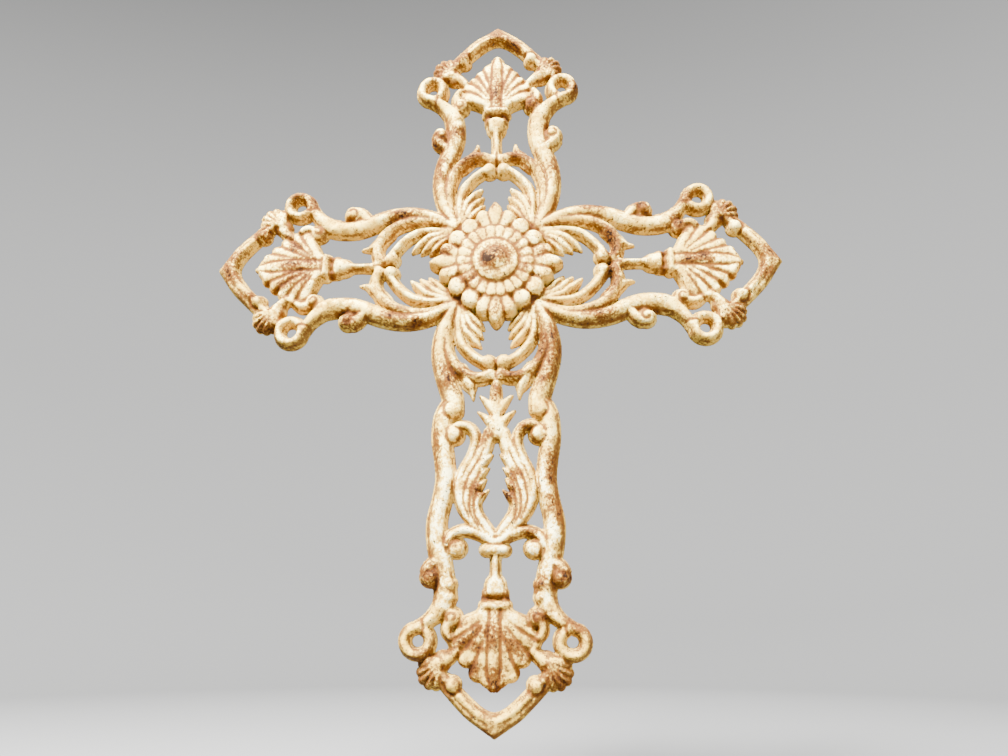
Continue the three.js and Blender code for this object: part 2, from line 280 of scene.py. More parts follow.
petal = {
    "count": 22,
    "end": 22.6,  # radius of the tips
    "top": 12.6,  # height
    "crown": 0.35,  # fall to the sides
    "scallop": 1.2,  # how much shorter the sides are
    "tipFall": 2,  # fall of the rounded tip, and its length
    "cut": [0.36, 0.7],  # half width and depth of the groove between two petals
    "cutStart": [13, 3],  # radius where the groove starts, and the length it deepens over
    "tipDirt": [0.8, 0.8],  # half width and strength of the dirt round the tips
}


def polarPart(degrees):
    # ray: u along the ray at that angle from straight up, v to its side
    angle = math.radians(degrees)
    u = driftX * math.sin(angle) + driftZ * math.cos(angle)
    v = driftX * math.cos(angle) - driftZ * math.sin(angle)
    reach, half = rosette["field"]
    ids = np.flatnonzero((u > 0) & (u < reach) & (np.abs(v) < half))
    return {"ids": ids, "u": u[ids], "v": v[ids]}


def addPetals():
    # petals: a top that falls off with the square of the share across it, a scalloped round end
    # and a groove along each join
    radius = np.hypot(driftX, driftZ)
    ids = np.flatnonzero(radius < petal["end"])
    radius = radius[ids]
    cutWidth, cutDepth = petal["cut"]
    cutStart, cutLength = petal["cutStart"]
    dirtWidth, dirt = petal["tipDirt"]
    share = (np.arctan2(driftX[ids], driftZ[ids]) * petal["count"] / (2 * math.pi)) % 1 * 2 - 1
    join = (1 - np.abs(share)) * math.pi * radius / petal["count"]
    groove = np.exp(-((join / cutWidth) ** 2)) * np.clip((radius - cutStart) / cutLength, 0, 1)
    end = petal["end"] - petal["scallop"] * share**2 - radius
    tip = petal["tipFall"] * np.clip(1 - end / petal["tipFall"], 0, 1) ** 2
    height = petal["top"] - petal["crown"] * share**2 - cutDepth * groove - tip
    higher = (end > 0) & (height > heightMap[ids])
    heightMap[ids[higher]] = height[higher]
    rim = np.exp(-((end / dirtWidth) ** 2))
    grooveMap[ids] = np.maximum(grooveMap[ids], np.maximum(cutDepth * groove, dirt * rim))
    tintMap[ids] = 0.0


def addDisc():
    # disc and boss: domes that fall off with the cube and the square of the radius, a groove round the disc
    radius = np.hypot(driftX, driftZ)
    discRadius, discHeight, discFall = rosette["disc"]
    bossRadius, bossHeight, bossFall = rosette["boss"]
    cutWidth, cutDepth = rosette["discCut"]
    disc = discHeight - discFall * np.clip(radius / discRadius, 0, 1) ** 3
    boss = bossHeight - bossFall * np.clip(radius / bossRadius, 0, 1) ** 2
    disc = np.where(radius < bossRadius, np.maximum(disc, boss), disc)
    edge = np.exp(-(((radius - discRadius) / cutWidth) ** 2))
    heightMap[radius < discRadius] = disc[radius < discRadius]
    heightMap[:] -= cutDepth * edge
    dirty = np.maximum(grooveMap, rosette["discDirt"] * edge)
    grooveMap[:] = np.where(radius < discRadius - 1, 0, dirty)


def addRosette():
    middle = {"ids": np.arange(planX.size), "u": driftX, "v": driftZ}
    raiseBall(middle, 0, 0, *rosette["bed"], bedTop, fullTint, rosette["bedTint"])
    for degrees in range(0, 360, 90):
        ray = polarPart(degrees)
        both = {**ray, "v": np.abs(ray["v"])}
        raiseBar(both, rosette["trefoil"][1], lobeTop, steep=rosette["steep"])
        raiseBar(ray, rosette["trefoil"][0], lobeTop, steep=rosette["steep"])
        carve(both, rosette["crease"])
        for lean in (-rosette["pairDegrees"], rosette["pairDegrees"]):
            raiseBar(polarPart(degrees + lean), rosette["pair"], lobeTop, steep=rosette["steep"])
    addPetals()
    addDisc()
    print("rosette raised")


# leaf between the rosette and the neck of an arm, its lines as [u, v, half width, height]
armRoot = {
    "neckShift": 2.4,  # how much further out the neck of a short arm is
    "web": [[20, 20, 3, 6], [25, 23.4, 2, 6], [28.5, 26, 1, 5.4]],
    "webTint": 0.8,
    "bridge": [[66.6, 3, 3, 6.4], [66.8, -1, 3, 6.4]],
    "thorn": [[63.5, 20.5, 2.6, 6.6], [70, 14.6, 2.9, 7], [74.4, 12, 1.3, 6.4], [79.4, 11.2, 0.2, 4.8]],
    "footThorn": [[62, 20, 3, 6.6], [70, 15.2, 3.3, 6.8], [74.4, 13.6, 1.3, 6.2], [77.4, 13, 0.6, 5.4],
                  [79.8, 12.8, 0.15, 4.6]],
    "footFillet": [[56, 28, 2.2, 4.6], [67, 23, 1.4, 4.6]],
    "arch": [[25, 23, 1.4, 7.2], [36, 27.3, 2.2, 7.4], [46, 28.2, 2.5, 7.4], [55, 26.4, 2.8, 7.6],
             [62.4, 21.4, 2.9, 7.8], [67, 14, 2.9, 7.8], [67.6, 7.4, 2.9, 7.6], [65.4, 3.4, 2.8, 7.4]],
    "archShift": [0, 0, 0, 0.5, 1, 1, 1, 1],  # share of the neck's shift that each point takes
    "archTint": 0.62,
    "rim": [[26, 21.5, 1.2, 7.2], [37, 22, 1.9, 7.4], [47, 19.8, 2.4, 7.6], [54, 14, 2.3, 7.6],
            [58.6, 7.4, 2.3, 7.8]],
    "ball": [58.8, 4.3, 3.9, 8.8],
    "teeth": [[[26, 20.6, 1, 6.6], [38, 18.2, 2, 7.4], [44.4, 13.6, 1.9, 7], [49.4, 8.8, 0.3, 5]],
              [[26, 19, 1, 6.6], [35, 15.8, 1.9, 7.2], [39.8, 11.8, 1.7, 6.8], [44, 7.8, 0.3, 5]],
              [[26, 17.4, 1, 6.6], [31.6, 13.8, 1.7, 7], [35.4, 10.4, 1.5, 6.6], [38.8, 7.2, 0.3, 5]]],
    "neckCut": [[57, 0, 0.5, 0.9], [69, 0, 0.5, 0.8]],
}


def addArmRoot(part, isFoot):
    out = 0 if isFoot else armRoot["neckShift"]
    raiseBar(part, armRoot["web"], broadTop, fullTint, armRoot["webTint"])
    raiseBar(part, shifted(armRoot["bridge"], out))
    if isFoot:
        raiseBar(part, armRoot["footThorn"], ridgeTop)
        raiseBar(part, armRoot["footFillet"], ridgeTop)
    else:
        raiseBar(part, armRoot["thorn"], ridgeTop)
    arch = shifted(armRoot["arch"], out * np.array(armRoot["archShift"]))
    raiseBar(part, arch, railTop if isFoot else roundTop, crestTint, armRoot["archTint"])
    raiseBar(part, shifted(armRoot["rim"], out * np.linspace(0, 1, len(armRoot["rim"]))))
    ball = armRoot["ball"]
    raiseBall(part, ball[0] + out, *ball[1:])
    for tooth in armRoot["teeth"]:
        raiseBar(part, tooth, leafTop)
    carve(part, shifted(armRoot["neckCut"], out))


# rails down both sides of an arm as [u, v, half width, height]
railShape = {
    "short": [[24, 24, 2.2, 7.6], [34, 29.6, 3.2, 8.2], [45, 32.8, 3.7, 8.4], [55, 33.4, 3.9, 8.4],
              [65, 31.4, 4.3, 8.4], [74, 27.8, 4.8, 8.4], [83, 25.2, 5, 8.4], [92, 25, 5, 8.4],
              [100, 26.6, 4.8, 8.4]],
    "footUpper": [[24, 24, 2.2, 7.6], [34, 29, 3.2, 8.2], [45, 31.8, 3.7, 8.4], [55, 31.9, 3.9, 8.4],
                  [64, 29.6, 4.3, 8.4], [72, 26.6, 4.8, 8.4], [79, 24.2, 5, 8.4], [86, 23.6, 4.8, 8.4]],
    "footLower": [[81, 26.6, 2.4, 6.2], [86, 28.6, 3.3, 7.4], [92, 29.6, 4.2, 8.2], [103, 29.7, 4.6, 8.4],
                  [114, 28.2, 4.5, 8.4], [125, 27.3, 4.5, 8.4], [136, 28.8, 4.5, 8.4], [147, 31, 4.6, 8.4],
                  [158, 30.4, 4.7, 8.4], [168, 28.4, 4.8, 8.4], [177, 26.8, 4.8, 8.4], [185, 25.8, 5, 8.4],
                  [191, 27, 4.8, 8.4]],
    "tint": 0.3,
}


# loop, shell, bead, volute and curl at the end of an arm; a round cut about a centre is given as
# [radius, start, end, half width, depth, points, shrink], the last two where they aren't the usual ones
armEnd = {
    "shift": 90.8,  # the foot's end lies this much further out
    "ear": [[76.2, 29.4, 2.6, 7.6], [79.4, 33.4, 3, 8.2], [82, 35, 3.2, 8.6]],
    "earBall": [85, 33.6, 4.8, 9.2],
    "earCut": [3.6, -60, -330, 0.6, 1.2, 13, 0.55],
    "earSlot": [[91.4, 30.4, 0.9, 1.6], [88.4, 29.8, 0.9, 2], [84.6, 29.4, 0.6, 1]],
    "knuckles": [[89, 23.4, 2.9, 9.3], [95.6, 23.4, 2.9, 9.3]],
    "volute": [105.2, 21.8, 4.3, 9.2],
    "voluteCut": [3, 60, 330, 0.6, 1, 11, 0.6],
    "horn": [[106.6, 23.6, 2.6, 8.2], [112, 24.6, 2.4, 8], [116, 22.4, 1.8, 7.2]],
    "strap": [[121.6, 19.6, 2.2, 6.8], [126.4, 25.6, 3, 7.2], [126.8, 33.4, 3, 7.2]],
    "ring": [117.3, 39.7, 6.6, 172, -150, 2.65, 8.6, 15],  # the loop's band, given as an arc
    "ringStart": [[98, 26.2, 4.7, 8.4], [102.6, 29.4, 4.1, 8.4], [107, 34.2, 3.1, 8.5]],
    "ringTint": 0.3,
    "ringSteep": 0.8,  # its walls, as a share of the usual draft
    "ringCut": [[106.2, 37.4, 0.5, 0.8], [110.4, 36.2, 0.6, 1.3], [113.6, 37.2, 0.5, 0.8]],
    "shellRoot": [126.4, 26.4],
    "shellPlate": [[0, 0, 4, 6], [6, 4.6, 4, 5]],  # counted from the root
    "shellPlateTint": 0.8,
    # degrees and reach of each rib
    "shellRibs": [[14, 14.6], [30, 15.6], [46, 15.6], [62, 14.4], [78, 12.4], [94, 10]],
    "ribSizes": [[0.7, 8.4], [1.1, 8], [1.5, 5.6]],  # half width and height at root, middle and tip
    "ribMiddle": 0.6,  # share of the reach
    "ribTip": 2,  # the tip's middle lies this much short of the reach
    "ribTint": 0.25,
    "bead": [137.8, 20.8, 3.5, 9.6],
    "beadCut": [4.4, -60, 100, 0.6, 1.6],
}


def addShell(part):
    # shell: ribs fanned out from one root over a low plate
    rootU, rootV = armEnd["shellRoot"]
    plate = np.array(armEnd["shellPlate"]) + [rootU, rootV, 0, 0]
    raiseBar(part, plate, broadTop, fullTint, armEnd["shellPlateTint"])
    for degrees, reach in armEnd["shellRibs"]:
        du, dv = math.cos(math.radians(degrees)), math.sin(math.radians(degrees))
        along = [0, reach * armEnd["ribMiddle"], reach - armEnd["ribTip"]]
        rib = [[rootU + du * s, rootV + dv * s, *size] for s, size in zip(along, armEnd["ribSizes"])]
        raiseBar(part, rib, leafTop, fullTint, armEnd["ribTint"])


def addArmEnd(part):
    raiseBar(part, armEnd["ear"])
    raiseBall(part, *armEnd["earBall"])
    for knuckle in armEnd["knuckles"]:
        raiseBall(part, *knuckle)
    raiseBar(part, armEnd["horn"])
    raiseBall(part, *armEnd["volute"])
    raiseBar(part, armEnd["strap"])
    addShell(part)
    loop = np.vstack([armEnd["ringStart"], arc(*armEnd["ring"])])
    raiseBar(part, loop, roundTop, outerTint, armEnd["ringTint"], armEnd["ringSteep"])
    raiseBall(part, *armEnd["bead"])
    # spiral cuts on the curl and the volute, a slot beside the curl and one where the loop starts
    carve(part, arc(*armEnd["earBall"][:2], *armEnd["earCut"]))
    carve(part, armEnd["earSlot"])
    carve(part, arc(*armEnd["volute"][:2], *armEnd["voluteCut"]))
    carve(part, armEnd["ringCut"])


# palmettes: tips of the side lobes from the midrib outwards as [u, v, half width]
palmette = {
    "top": [[134.8, 7.4, 3], [130.4, 12, 3.2], [126, 16, 3.2], [120.6, 20.2, 3.4], [113.6, 22.8, 3.2]],
    "side": [[137.4, 7.4, 3.2], [132.6, 12.8, 3.4], [127.2, 18, 3.4], [120.8, 22.6, 3.4], [114, 24.8, 3.2]],
    "foot": [[136.8, 9.4, 4.4], [129.4, 16.4, 4.6], [120.4, 23.4, 4.4], [112.6, 20.6, 4]],
    "plate": {
        "top": [[102, 0, 5.4, 8.6], [109, 0, 10, 8.8], [117, 0, 14, 8.2], [124, 0, 11, 7.4],
                [130, 0, 6.6, 6.8]],
        "side": [[102, 0, 5.4, 8.6], [109, 0, 10, 8.8], [117, 0, 15, 8.2], [125, 0, 12, 7.4],
                 [132, 0, 7, 6.8]],
        "foot": [[102, 0, 5.6, 8.6], [109, 0, 11, 8.6], [117, 0, 15, 8], [125, 0, 11, 7.2],
                 [131, 0, 8, 6.6]],
    },
    "midrib": {
        "top": [[101, 0, 2.2, 8.8], [115, 0, 2.8, 9.6], [131, 0, 2.4, 8.2], [136.8, 0, 3, 7.2]],
        "side": [[101, 0, 2.2, 8.8], [115, 0, 2.8, 9.6], [131, 0, 3.2, 8], [140.6, 0, 0.5, 5]],
        "foot": [[101, 0, 2.4, 8.8], [115, 0, 2.9, 9.6], [128, 0, 3.2, 8.2], [135.2, 0, 4, 6.8],
                 [140.6, 0, 0.3, 4.8]],
    },
    "midribCut": [[101.5, 2.9, 0.5, 1], [118, 3.4, 0.55, 1.2], [131, 3.2, 0.55, 1.1], [138, 1.6, 0.5, 0.8]],
    "root": 103,  # where the lobes fan out from
    "spread": 3.6,  # of the lobes' feet across the arm
    "lobeFoot": [102, 1.4, 8.6],  # u, half width and height
    # shares along, across and of the width, then the height
    "lobeBends": [[0.5, 0.42, 0.9, 9], [0.8, 0.76, 1, 7.9]],
    "lobeTip": [0.85, 6],  # share of the width, height
    # shares along and across, then half width and depth
    "lobeCut": [[0.3, 0.24, 0.5, 0.4], [0.7, 0.64, 0.75, 1.1], [1, 1, 0.95, 1.3]],
}


def onFan(u, v, foot, along, across):
    # place between a lobe's foot and its end, by the shares along and across
    root = palmette["root"]
    return root + (u - root) * along, foot + (v - foot) * across


def addPalmette(part, kind):
    # lobes: curved bars from feet set side by side to tips on the outline, with a cut between each two
    raiseBar(part, palmette["plate"][kind], broadTop)
    lobes = np.array(palmette[kind])
    feet = np.arange(1, len(lobes) + 1) * palmette["spread"] / len(lobes)
    lean = np.arctan2(lobes[:, 1] - feet, lobes[:, 0] - palmette["root"])
    footU, footWidth, footHeight = palmette["lobeFoot"]
    tipShare, tipHeight = palmette["lobeTip"]
    reach = lobes[:, 2] * tipShare + castGrid["draft"]
    endU, endV = lobes[:, 0] - reach * np.cos(lean), lobes[:, 1] - reach * np.sin(lean)
    for u, v, foot, width in zip(endU, endV, feet, lobes[:, 2]):
        line = [[footU, foot, footWidth, footHeight]]
        for along, across, share, height in palmette["lobeBends"]:
            line.append([*onFan(u, v, foot, along, across), width * share, height])
        raiseBar(part, [*line, [u, v, width * tipShare, tipHeight]], lobeTop)
    raiseBar(part, palmette["midrib"][kind], broadTop)
    joinU, joinV = (lobes[1:, 0] + lobes[:-1, 0]) / 2, (lobes[1:, 1] + lobes[:-1, 1]) / 2
    for u, v, foot in zip(joinU, joinV, feet):
        carve(part, [[*onFan(u, v, foot, along, across), width, depth]
                     for along, across, width, depth in palmette["lobeCut"]])
    carve(part, palmette["midribCut"])


# stem, cup and collar under a palmette, and the chevron round the end of an arm
armMiddle = {
    "stem": [[70.6, 0, 2.4, 6.6], [77, 0, 1.9, 7.2], [83, 0, 1.9, 7.6], [86.8, 0, 2.8, 8.2],
             [89.4, 0, 4.6, 9], [92, 0, 5, 9.4]],
    "neck": [[93, -2, 1.5, 7.4], [101, -2, 1.5, 7.4], [101, 4.4, 1.5, 7.4], [93, 4.4, 1.5, 7.4]],
    "neckTint": 0.8,
    "cupCut": [[95.8, -9, 1.1, 1.9], [95.8, 9, 1.1, 1.9]],
    "collar": [[99.6, -2, 2.1, 10.6], [99.6, 5.8, 2, 9.8]],
    "tube": [[135.6, 24.4, 2.3, 7.4], [143.2, 17, 2, 7.8], [150.2, 9, 2, 7.8], [153.2, 3.6, 2, 7.8],
             [153.9, 0, 2, 7.8]],
    "bevel": [[134.5, 27.4, 2.9, 7], [138.3, 23.9, 2.9, 7.4], [149.7, 12.6, 2.9, 7.7],
              [155.7, 4.2, 2.9, 7.7], [158.5, 0, 2.9, 7.7], [161.3, -4.2, 2.9, 7.7]],
    "bevelTint": 0.3,
    "footBevelTint": 0.6,
}


def addArmMiddle(part, isFoot):
    raiseBar(part, armMiddle["stem"])
    raiseBar(part, armMiddle["neck"], broadTop, fullTint, armMiddle["neckTint"])
    raiseBar(part, armMiddle["collar"])
    carve(part, armMiddle["cupCut"])
    bevelTint = armMiddle["footBevelTint" if isFoot else "bevelTint"]
    raiseBar(part, armMiddle["bevel"], slopeTop, fullTint, bevelTint)
    raiseBar(part, armMiddle["tube"])
    carve(part, arc(*armEnd["bead"][:2], *armEnd["beadCut"]))


# wings, scrolls and arrow of the foot
footShape = {
    "bulb": [86.2, 24.2, 4.9, 9],
    "bulbCut": [4.4, 20, 130, 0.6, 1.2],
    "wing": [[155, 4, 1.6, 7.2], [149, 8.8, 3.2, 7.8], [141, 14, 4.6, 8], [132, 15.4, 5.4, 8],
             [122, 12.6, 4.8, 7.8], [114, 9.2, 3.7, 7.6], [106.4, 5.8, 3, 7.4], [99, 3.6, 2.6, 7.2]],
    "outerBand": [[158, 1, 2, 7.2], [149.5, 10, 2.2, 7.6], [141, 17, 2.3, 7.8], [131, 20.4, 2.1, 7.8],
                  [121, 18.4, 1.9, 7.8], [112, 13.8, 1.9, 7.8], [103, 11.2, 2.1, 7.8], [96.6, 14, 2.3, 8],
                  [94.8, 19.5, 2.5, 8], [97, 24, 2.2, 7.8]],
    "upperBall": [100, 23.2, 5, 8.8],
    "upperCut": [4, 200, 330, 0.5, 0.9],
    "teeth": [[[120, 9.5, 2.4, 8], [116, 6.8, 1.8, 7.9], [113.4, 4.2, 1.1, 7.3], [111.2, 2, 0.3, 6]],
              [[126, 10.5, 2.4, 8], [122.6, 8, 1.8, 7.9], [120.6, 6, 1.1, 7.3], [118.5, 3.8, 0.3, 6]],
              [[131, 10.6, 2.2, 8], [128.4, 8.2, 1.6, 7.9], [126.6, 6.8, 1, 7.3], [124.6, 5.2, 0.3, 6]],
              [[138, 10.6, 2.2, 8], [135.4, 8.4, 1.8, 7.9], [133.2, 6.4, 1.2, 7.3], [130.6, 3.8, 0.3, 6]]],
    "sharp": 0.5,  # walls of the teeth and barbs, as a share of the usual draft
    "innerRim": [[133, 9, 1.3, 7.8], [137, 9.7, 1.3, 8], [142.7, 8.7, 1.3, 8], [148, 5.4, 1.3, 7.8],
                 [154.4, 1.2, 1.4, 7.6]],
    "cuts": [[[152, 5.6, 0.4, 0.6], [145.6, 10.2, 0.45, 1], [138.2, 11.2, 0.5, 1.1], [131, 9.4, 0.5, 0.9]],
             [[150, 9, 0.4, 0.6], [143.7, 12.8, 0.45, 0.9], [135.9, 13.6, 0.5, 1], [128.7, 12.2, 0.5, 1],
              [121.3, 8.2, 0.5, 0.9]],
             [[146, 13.4, 0.4, 0.6], [138.2, 16.6, 0.45, 0.9], [131, 16.6, 0.5, 1], [123.7, 14.4, 0.5, 1],
              [114, 9, 0.5, 0.8], [108, 6.6, 0.4, 0.4]]],
    "lowerBand": [[158, 1, 2.8, 7.8], [154.2, 8, 2.7, 7.8], [152.2, 16, 2.6, 7.8], [154.8, 23, 2.5, 7.8],
                  [159.6, 25, 2.2, 7.6]],
    "lowerBall": [161.4, 20, 4.6, 9],
    "lowerCut": [3.6, 60, 200, 0.5, 0.9],
    "knob": [[162.4, -2, 2.9, 9.4], [162.4, 4.8, 2.7, 9]],
    "spine": [[67.8, 0, 0.4, 5.4], [73, 0, 2, 7.4], [77, 0, 2.4, 7.8], [86, 0, 2.4, 7.8],
              [94.4, 0, 2.2, 7.8], [99, 0, 4.2, 7.6]],
    "barbs": [[[86.6, 1, 2.8, 7.6], [82.6, 4.6, 1.7, 7.2], [80, 7, 0.9, 6.6], [78, 9.2, 0.2, 5.6]],
              [[95.6, 1, 3, 7.6], [91.6, 4.8, 1.8, 7.2], [89, 7.8, 0.9, 6.6], [86.8, 10.4, 0.2, 5.6]]],
}


def addFoot(part):
    raiseBar(part, railShape["footLower"], railTop, outerTint, railShape["tint"])
    raiseBar(part, railShape["footUpper"], railTop, outerTint, railShape["tint"])
    raiseBall(part, *footShape["bulb"])
    raiseBar(part, footShape["wing"], broadTop)
    for tooth in footShape["teeth"]:
        raiseBar(part, tooth, leafTop, steep=footShape["sharp"])
    raiseBar(part, footShape["innerRim"])
    raiseBar(part, footShape["outerBand"])
    raiseBall(part, *footShape["upperBall"])
    raiseBar(part, footShape["lowerBand"])
    raiseBall(part, *footShape["lowerBall"])
    raiseBar(part, footShape["knob"], ballTop)
    raiseBar(part, footShape["spine"], lobeTop)
    for barb in footShape["barbs"]:
        raiseBar(part, barb, lobeTop, steep=footShape["sharp"])
    for cut in footShape["cuts"]:
        carve(part, cut)
    for ball, cut in (("upperBall", "upperCut"), ("lowerBall", "lowerCut"), ("bulb", "bulbCut")):
        carve(part, arc(*footShape[ball][:2], *footShape[cut]))
    print("foot raised")


addRosette()
for quarter, kind in enumerate(["top", "side", "foot", "side"]):
    arm = armPart(quarter)
    isFoot = kind == "foot"
    end = moved(arm, armEnd["shift"] if isFoot else 0)
    addArmRoot(arm, isFoot)
    if isFoot:
        addFoot(arm)
    else:
        raiseBar(arm, railShape["short"], railTop, outerTint, railShape["tint"])
    addPalmette(end, kind)
    addArmEnd(end)
    addArmMiddle(end, isFoot)
    print("arm raised:", kind)


def blurred(values, passes):
    # blur: each pass averages a point with its neighbours by the weights 1, 2, 1 along rows and columns
    grid = values.reshape(len(rows), len(columns))
    for k in range(passes):
        for axis in (0, 1):
            grid = (np.roll(grid, 1, axis) + 2 * grid + np.roll(grid, -1, axis)) / 4
    return grid.ravel()


def inside():
    return (coverMap > 0).astype(float)


def softened(values, passes):
    # softening: the blur of the heights inside the outline over the blur of the inside itself
    weight = blurred(inside(), passes)
    return blurred(values * inside(), passes) / np.maximum(weight, 1e-3)


def castSkin():
    # skin: seeded noise blurred to a slow lump and to a fine grain, each scaled to its own size
    draw = np.random.default_rng(castGrid["seed"])
    skin = 0.0
    for passes, size in (castGrid["lump"], castGrid["grain"]):
        noise = blurred(draw.normal(size=planX.size), passes)
        skin = skin + size * noise / noise.std()
    return skin


def partWay(values, start, length):
    # 0 up to start, 1 a length further on
    return np.clip((values - start) / length, 0, 1)


edgeFade = partWay(coverMap, 0, castGrid["draft"])
skinned = softened(heightMap, castGrid["softPasses"]) + castSkin() * edgeFade
heightMap = np.where(coverMap > 0, skinned, castGrid["flange"])
lowest, highest = castGrid["flange"] * castGrid["least"], -lowCorner[1] - castGrid["headroom"]
heightMap = np.clip(heightMap, lowest, highest)

# what the paint wears by: creases and hollows lie below the blurred surface, slopes and walls lead
# down to the back; the finish darkens slopes and walls partly as rust and partly as painted shade
wear = {
    "crease": [4, 0.5],  # passes of blur, depth of a full crease
    "creaseEdge": [1, 1.2],  # distance from the outline where creases start, and the length they grow over
    "hollow": [40, 2.4],
    "hollowEdge": [0.6, 1.4],
    "grooveShare": 0.9,
    "hollowShare": 0.5,
    "power": 0.65,  # below one, so that faint creases show
    "slope": [0.35, 1.3],  # least slope that counts, and the range above it
    "slopeShare": 0.85,
    "wallReach": 1.25,  # of the wall's dirt, in drafts
    "rimCrevice": 0.2,  # dirt along the square edge
}


def sunken(passes, depth, edge):
    # how far a point lies below the blurred surface, fading out towards the outline
    return partWay(softened(heightMap, passes) - heightMap, 0, depth) * partWay(coverMap, *edge)


crease = sunken(*wear["crease"], wear["creaseEdge"])
hollow = sunken(*wear["hollow"], wear["hollowEdge"])
crevice = np.maximum(crease, wear["grooveShare"] * grooveMap) + wear["hollowShare"] * hollow
crevice = np.clip(crevice, 0, 1) ** wear["power"]
slopeZ, slopeX = np.gradient(heightMap.reshape(len(rows), len(columns)), castGrid["step"])
slope = partWay(np.hypot(slopeX, slopeZ).ravel(), *wear["slope"])
nearEdge = np.clip(wear["wallReach"] - coverMap / castGrid["draft"], 0, 1)
# wall: near the outline and on steep slopes; the finish darkens it to a dull brown, partly rust and partly
# painted shade
wall = np.maximum(nearEdge, wear["slopeShare"] * slope)
print("surface ready: height up to", round(float(heightMap.max()), 2), "mm")

# worn and rusted places as [x, z, long radius, short radius, turn from the X axis in degrees, strength]
rustSpots = [
    # head
    [0.3, 113, 7, 2.2, 90, 1], [0.6, 155, 5, 3, 0, 0.8], [10, 148, 5, 2, -50, 0.8],
    [-36, 132, 7, 5, 60, 0.7], [-22, 139, 4, 2.5, 40, 0.7], [-36, 81, 4, 4, 0, 0.8],
    [-33, 61, 7, 2, 80, 0.8], [33, 63, 4, 2, 90, 0.7], [-16, 69.5, 7, 2.5, 40, 0.9],
    [14, 69.5, 7, 2.5, -30, 0.9], [49, 120, 6, 2.5, 70, 0.9], [-25, 85, 4, 3, 20, 0.8],
    [21, 105, 3, 3, 0, 0.8], [34, 132, 6, 5, -40, 0.55],
    # right arm
    [65.5, 15, 6, 2, -50, 1], [67.5, 8, 5, 2, -80, 1], [67, -6, 5, 2, 85, 0.9],
    [65.5, -15, 4, 2, 60, 0.8], [110, 0, 4, 2, 0, 1], [118.5, 0, 5, 2, 0, 1], [56, 35, 5, 2, 0, 0.8],
    [58.5, -31, 5, 1.8, 5, 0.9], [84.5, 35.5, 3.5, 3, 0, 0.9], [106, 23, 3.5, 3.5, 0, 0.9],
    [110, 39, 5, 3, 60, 0.7], [155, 3.5, 4, 2, -45, 0.8], [152, -7, 4, 1.8, 50, 0.8],
    [135, 32, 6, 5, 0, 0.6], [134.5, -32, 5, 5, 0, 0.5],
    # right rail under the rosette
    [25.7, -46, 4, 1.4, 85, 1], [31.7, -46, 5, 1.6, 85, 1],
    # left arm
    [-156, -2.6, 6, 2, -60, 0.9], [-152.6, 7, 4, 2, 50, 0.7], [-142, -18, 4, 2, -45, 0.7],
    [-118.7, 1, 6, 1.8, 0, 1], [-108, 1, 3, 2, 0, 0.9], [-110, -7.5, 4, 1.6, 40, 0.9],
    [-116.5, -4.5, 4, 1.4, 20, 0.8], [-120.5, -10, 5, 1.6, 40, 0.8], [-118, 14, 5, 2, -60, 0.9],
    [-117, 44, 5, 2.5, 0, 0.7], [-108.5, 40, 4, 2.5, 80, 0.8], [-137, 21, 4, 4, 0, 0.7],
    [-59, -31, 6, 1.6, 0, 0.9], [-46, -33, 3, 1.6, 10, 0.9], [-53.5, 32.5, 6, 2, 0, 0.9],
    [-84, -32, 4, 2, -40, 0.8], [-134, -38, 5, 4, 0, 0.8],
    # rosette
    [0.6, 2.2, 6.4, 4.6, 8, 0.82], [-4.2, -1.2, 4, 2.8, -20, 1.5], [-0.8, -1.8, 3.2, 1.6, 8, 1.1],
    [4.6, -0.4, 1.8, 1.5, 40, 1], [-30, 7, 5, 1.2, 20, 0.9], [-3, 34.4, 2, 1.6, 0, 0.8],
    [-13.7, -10.7, 2, 1.6, 30, 0.8], [17, -4.8, 1.8, 1.4, 0, 0.7], [0.3, -28, 4, 1.6, 80, 0.6],
    [27, 6.3, 2, 1.6, 40, 0.7],
    # upper foot
    [-25.9, -68, 6, 1.7, -65, 1], [30.8, -59, 7, 1.6, 75, 1], [27, -68, 5, 1.6, 60, 0.9],
    [25.6, -51, 6, 1.5, 80, 0.9], [8, -66, 6, 2, 15, 0.8], [-17, -65, 4, 2.4, -20, 0.7],
    [0.3, -77.6, 3, 1.4, 90, 0.9], [-4.2, -102, 3, 1.6, 60, 0.7], [15, -97, 3, 2, 20, 0.6],
    [-31.4, -106, 5, 1.2, 85, 0.6],
    # wings and the rails beside them
    [29.1, -115, 2.4, 1.5, 90, 0.9], [29.1, -119.5, 2.2, 1.5, 90, 0.9],
    [29.2, -124.6, 2.4, 1.4, 90, 0.9], [29.4, -136.6, 3, 1.3, 90, 0.9], [32.5, -145, 3, 1.5, 90, 0.9],
    [-10.7, -129.6, 4, 1.5, 70, 1], [-7.6, -133, 2, 1.6, 0, 0.8], [10, -128.7, 3.4, 1.4, -60, 1],
    [8.3, -133.7, 4, 1.4, -70, 1], [10.3, -122.5, 2, 1.4, -40, 0.8], [17.3, -153, 3, 1.2, 0, 0.7],
    [-23, -158, 2.5, 1.2, -30, 0.6],
    # end of the foot
    [-34.4, -175, 4.6, 4, 0, 0.8], [36, -176, 4.2, 3.8, 0, 0.8], [-0.8, -203, 6, 1.6, 90, 1],
    [-10, -203.6, 3.5, 1.3, 40, 1], [-15.8, -207.6, 3, 1.2, 40, 0.9], [-10, -210.3, 2.5, 1.5, 0, 0.9],
    [-11.3, -221.7, 3, 2, 60, 0.8], [10.5, -210, 6, 1.6, -55, 1], [7, -206.5, 2, 1.2, -50, 0.8],
    [0.6, -228, 5, 2.6, 90, 0.9], [-36, -224.4, 6, 5, 0, 0.5], [33, -225.6, 6, 5, 0, 0.55],
    [23, -196, 2.4, 2, 0, 0.9], [42, -199.6, 5, 2, -30, 0.6], [-36, -216, 4, 2, 20, 0.6],
    [23.6, -180, 4, 2.4, 60, 0.8],
]


